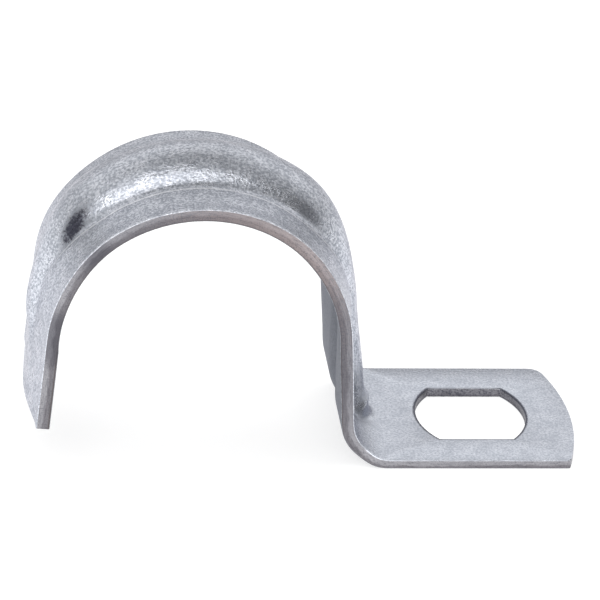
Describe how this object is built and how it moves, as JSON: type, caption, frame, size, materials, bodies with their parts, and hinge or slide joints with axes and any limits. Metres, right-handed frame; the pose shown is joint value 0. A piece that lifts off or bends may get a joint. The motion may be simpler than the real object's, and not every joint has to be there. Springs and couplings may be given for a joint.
{
  "type": "conduit strap",
  "caption": "Stamped sheet steel conduit strap: a ribbed arch that clamps a round conduit, folded out to one flat foot with a slotted screw hole.",
  "frame": {"origin": "middle of the screw slot, on the mounting surface", "axes": "+X from the conduit towards the foot's tip, +Y along the conduit, +Z away from the mounting surface"},
  "size_m": [0.0472, 0.0164, 0.0266],
  "materials": {
    "zinc_steel": "bright zinc plating, lightly worn and grained"
  },
  "bodies": {
    "root": {"strap_body": "zinc_steel"}
  },
  "joints": []
}
